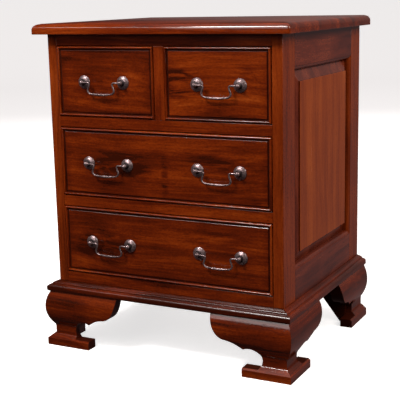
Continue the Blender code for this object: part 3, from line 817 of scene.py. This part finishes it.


# ---- Handle posts and roses ----
# Cast and turned in one piece: a domed rose against the wood, a thin stem and a ball drilled for the
# bail's pin. The metal is antiqued and rubbed bright in patches, and the hollow round the ball is darkened
# as painted shade over its patina.

ROSE_RADIUS = 9.5 * MM
STEM_RADIUS = 2.3 * MM
BALL_RADIUS = 3.3 * MM
BALL_OUT = 7.8 * MM
PLUM_PATINA = (0.062, 0.036, 0.036)
RUBBED_BRIGHT = (0.37, 0.275, 0.28)


def antique_metal(name, brightness=1.0):
    """Grey cast metal with a plum patina that is rubbed bright in places."""
    finish = bpy.data.materials.new(name)
    finish.use_nodes = True
    shader = finish.node_tree.nodes["Principled BSDF"]
    place = Wire(finish.node_tree).make("TexCoord", output="Object")
    patches = place.noise(420, 4, 0.65)
    grit = place.noise(1600, 2)
    rubbed = (patches * 0.75 + grit * 0.25).rise(0.36, 0.64)
    dark, bright = [tuple(brightness * v for v in tone) + (1,) for tone in (PLUM_PATINA, RUBBED_BRIGHT)]
    colour = rubbed.blend(dark, bright)
    tree = finish.node_tree
    tree.links.new(colour.socket, shader.inputs["Base Color"])
    tree.links.new((0.48 - rubbed * 0.18).socket, shader.inputs["Roughness"])
    tree.links.new((0.60 + rubbed * 0.30).socket, shader.inputs["Metallic"])
    height = patches * 0.7 + grit * 0.3
    bump = height.make("Bump", values={"Strength": 0.5, "Distance": 0.0003, "Height": height}, output="Normal")
    tree.links.new(bump.socket, shader.inputs["Normal"])
    return finish


def post_profile():
    """(radius, out) from the wood outwards."""
    rim = [(ROSE_RADIUS, 0), (ROSE_RADIUS, 0.6 * MM), (ROSE_RADIUS - 0.25 * MM, 0.95 * MM),
           (0.94 * ROSE_RADIUS, 1.1 * MM)]
    dome = bezier(rim[-1], (0.82 * ROSE_RADIUS, 2.5 * MM), (0.58 * ROSE_RADIUS, 3.5 * MM),
                  (0.34 * ROSE_RADIUS, 4.0 * MM), 12)
    stem = [(STEM_RADIUS + 0.2 * MM, 4.2 * MM), (STEM_RADIUS, 4.6 * MM)]
    ball = arc((0, BALL_OUT), BALL_RADIUS, -44, 88, 14)
    return rim + dome + stem + ball


# The last bands of the dome and the stem are in the hollow round the ball, darkened to a fifth: painted shade
# of the ball, over the patina there
POST_BANDS = [0] * 12 + [1] * 6 + [0] * 14


def round_rings(centre, base_y, profile, sides):
    """Rings round a front-to-back line through a centre, from (radius, back) pairs."""
    turns = [2 * math.pi * i / sides for i in range(sides)]
    return [[(centre.x + radius * math.cos(a), base_y + back, centre.z + radius * math.sin(a)) for a in turns]
            for radius, back in profile]


# The rod of each post comes through the drawer's front and takes a nut inside
NUT = [(4.6 * MM, 0.05 * MM), (4.9 * MM, 0.4 * MM), (4.9 * MM, 2.6 * MM), (4.5 * MM, 3.0 * MM)]
ROD_END = [(1.6 * MM, 2.95 * MM), (1.6 * MM, 5.4 * MM), (1.2 * MM, 5.8 * MM)]

metal = antique_metal("antique_metal")
hollow_shade_metal = antique_metal("hollow_shade_metal", 0.2)
handles = ["top_left", "top_right", "middle_left", "middle_right", "bottom_left", "bottom_right"]
drawer_of = {"top_left": "drawer_top_left", "top_right": "drawer_top_right"}
for handle in handles:
    body = drawer_of.get(handle, "drawer_" + handle.split("_")[0])
    for hand in ("left", "right"):
        node = "post_" + handle + "_" + hand
        low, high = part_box(node)
        centre = (low + high) / 2
        rings = round_rings(centre, high.y, [(radius, -out) for radius, out in post_profile()], 40)
        post = turn_out("handle_" + node, rings, [metal, hollow_shade_metal], smooth=42, bands=POST_BANDS)
        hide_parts(node)
        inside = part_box(body + "_front")[1].y
        where = handle + "_" + hand
        nut = turn_out("nut_" + where, round_rings(centre, inside, NUT, 6), [metal], smooth=20)
        rod = turn_out("rod_" + where, round_rings(centre, inside, ROD_END, 16), [metal], smooth=20)
        for piece in (post, nut, rod):
            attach(piece, body)


# ---- Bails ----
# Swan-neck bails of cast rod: pins turned outwards into the posts, necks that swell out as they come
# down, and a grip that is thickest in the middle.

BAIL_END_RADIUS = 1.3 * MM
BAIL_GRIP_RADIUS = 1.8 * MM
BAIL_DROP = 16.9 * MM
GRIP_REACH = 13 * MM
POST_SPACING = 64 * MM
PIN_RADIUS = 1.25 * MM
PIN_LENGTH = 2.4 * MM


def bail_half():
    """(across, up) from the middle of the grip to the end of the pin."""
    ball_side = POST_SPACING / 2 - BALL_RADIUS
    middle = (0, -BAIL_DROP)
    grip_end = (15.5 * MM, 0.9 * MM - BAIL_DROP)
    waist = (21.6 * MM, -11 * MM)
    shoulder = (19.3 * MM, -2.6 * MM)
    route = [middle] + bezier(middle, (5 * MM, -BAIL_DROP), (11 * MM, 0.3 * MM - BAIL_DROP), grip_end, 14)
    route += bezier(grip_end, (19 * MM, 1.4 * MM - BAIL_DROP), (21.6 * MM, -14 * MM), waist, 12)
    route += bezier(waist, (21.6 * MM, -8 * MM), (19.5 * MM, -6 * MM), shoulder, 9)
    route += bezier(shoulder, (19.2 * MM, -1 * MM), (20.2 * MM, -0.1 * MM), (22.4 * MM, 0), 9)
    return route + [(ball_side - 1.2 * MM, 0), (ball_side - 0.9 * MM, 0), (ball_side + PIN_LENGTH, 0)]


bail_metal = antique_metal("bail_metal", 0.85)
half = bail_half()
route = [(-u, v) for u, v in reversed(half[1:])] + half
for handle in handles:
    node = "bail_" + handle
    low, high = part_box(node)
    pivot_z = low.z + BAIL_DROP + BAIL_GRIP_RADIUS
    centre = (low + high) / 2
    rings = []
    for i, (u, v) in enumerate(route):
        before = Vector(route[max(i - 1, 0)])
        after = Vector(route[min(i + 1, len(route) - 1)])
        run = (after - before).normalized()
        grip = max(0.0, 1 - (abs(u) / GRIP_REACH) ** 2) if v < -BAIL_DROP / 2 else 0.0
        radius = BAIL_END_RADIUS + (BAIL_GRIP_RADIUS - BAIL_END_RADIUS) * grip
        if i < 2 or i > len(route) - 3:
            radius = PIN_RADIUS
        turns = [2 * math.pi * k / 20 for k in range(20)]
        rings.append([(centre.x + u - run.y * radius * math.cos(a), centre.y + radius * math.sin(a),
                       pivot_z + v + run.x * radius * math.cos(a)) for a in turns])
    bail = turn_out("handle_" + node, rings, [bail_metal], smooth=60)
    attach(bail, node)
    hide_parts(node)
